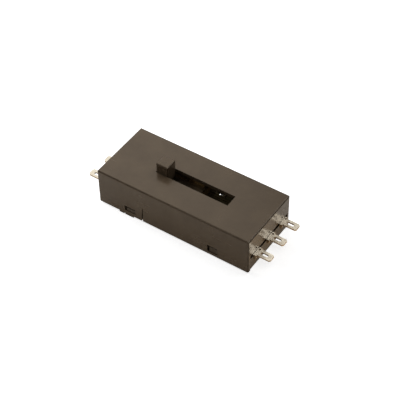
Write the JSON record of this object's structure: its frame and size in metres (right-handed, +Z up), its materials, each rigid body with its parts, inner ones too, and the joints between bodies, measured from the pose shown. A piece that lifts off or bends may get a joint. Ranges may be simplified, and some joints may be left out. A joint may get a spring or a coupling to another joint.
{
  "type": "slide switch",
  "caption": "Low black moulded slide switch with a square knob in a long top slot and flat solder lugs standing out of both ends.",
  "frame": {"origin": "centre of the cover's footprint, on the plane that the base rests on", "axes": "+X along the knob's travel, away from the first position; +Y across the switch, to the rear lane; +Z up through the knob"},
  "size_m": [0.0691, 0.024, 0.0179],
  "materials": {
    "cover_plastic": "smooth moulded plastic, warm black, low gloss",
    "base_plastic": "moulded plastic with a fine grain, warm black",
    "slider_plastic": "smooth moulded plastic, warm black",
    "tinned_brass": "stamped sheet brass with a thin tin plating",
    "contact_silver": "plain silver rivet heads",
    "bridge_bronze": "silver-plated phosphor bronze strip",
    "spring_steel": "bright drawn spring steel"
  },
  "bodies": {
    "housing": {"cover": "cover_plastic", "base": "base_plastic", "common_terminal": "tinned_brass", "terminal_right_front": "tinned_brass", "terminal_right_middle": "tinned_brass", "terminal_right_rear": "tinned_brass", "contact_left_front": "contact_silver", "contact_left_middle": "contact_silver", "contact_left_rear": "contact_silver", "contact_right_front": "contact_silver", "contact_right_middle": "contact_silver", "contact_right_rear": "contact_silver"},
    "slider": {"slider": "slider_plastic", "bridge_front": "bridge_bronze", "bridge_middle": "bridge_bronze", "bridge_rear": "bridge_bronze", "spring_front_a": "spring_steel", "spring_front_b": "spring_steel", "spring_middle_a": "spring_steel", "spring_middle_b": "spring_steel", "spring_rear_a": "spring_steel", "spring_rear_b": "spring_steel", "detent_leaf_front": "spring_steel", "detent_leaf_rear": "spring_steel"}
  },
  "joints": [
    {"name": "slider_slide", "type": "slide", "parent": "housing", "child": "slider", "axis": [1, 0, 0], "range_m": [0, 0.0223], "deforming": ["detent_leaf_front", "detent_leaf_rear"]}
  ]
}
